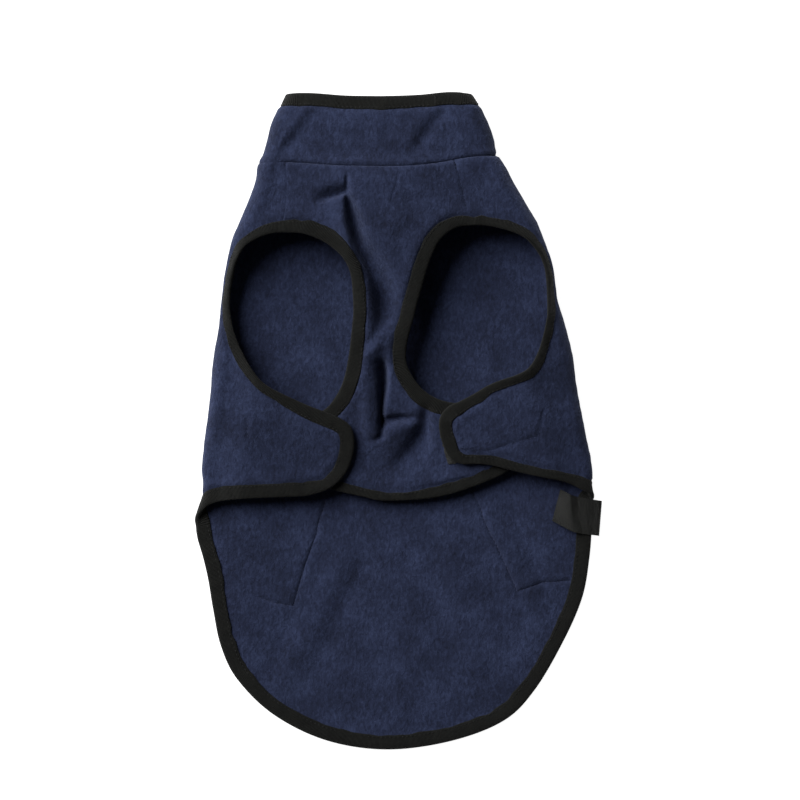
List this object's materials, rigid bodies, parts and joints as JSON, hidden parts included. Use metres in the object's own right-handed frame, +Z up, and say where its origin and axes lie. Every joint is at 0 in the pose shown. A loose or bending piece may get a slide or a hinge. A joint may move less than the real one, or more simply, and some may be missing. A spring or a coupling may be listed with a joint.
{
  "type": "dog winter coat",
  "caption": "Fleece dog coat laid flat on its back, with a stand-up collar, bound armholes, overlapping belly flaps and a rounded tail.",
  "frame": {"origin": "on the floor under the middle of the coat's bounding box, as laid on its back", "axes": "+X to the coat's right side as seen from above, +Y from the tail towards the collar, +Z up, out of the belly side"},
  "size_m": [0.2773, 0.4478, 0.0312],
  "materials": {
    "fleece": "brushed polyester fleece, navy",
    "binding": "knitted binding tape, black",
    "hook_and_loop": "hook and loop tape, black",
    "ribbon": "satin ribbon, black, unprinted"
  },
  "bodies": {
    "root": {"back_panel": "fleece", "chest_panel": "fleece", "collar": "fleece", "binding_collar": "binding", "binding_left_armhole": "binding", "binding_right_armhole": "binding", "binding_left_flap": "binding", "binding_right_flap": "binding", "binding_chest_hem": "binding", "binding_tail": "binding", "hook_patch_left": "hook_and_loop", "hook_patch_right": "hook_and_loop", "loop_patch_left": "hook_and_loop", "loop_patch_right": "hook_and_loop", "label_tab": "ribbon"}
  },
  "joints": []
}
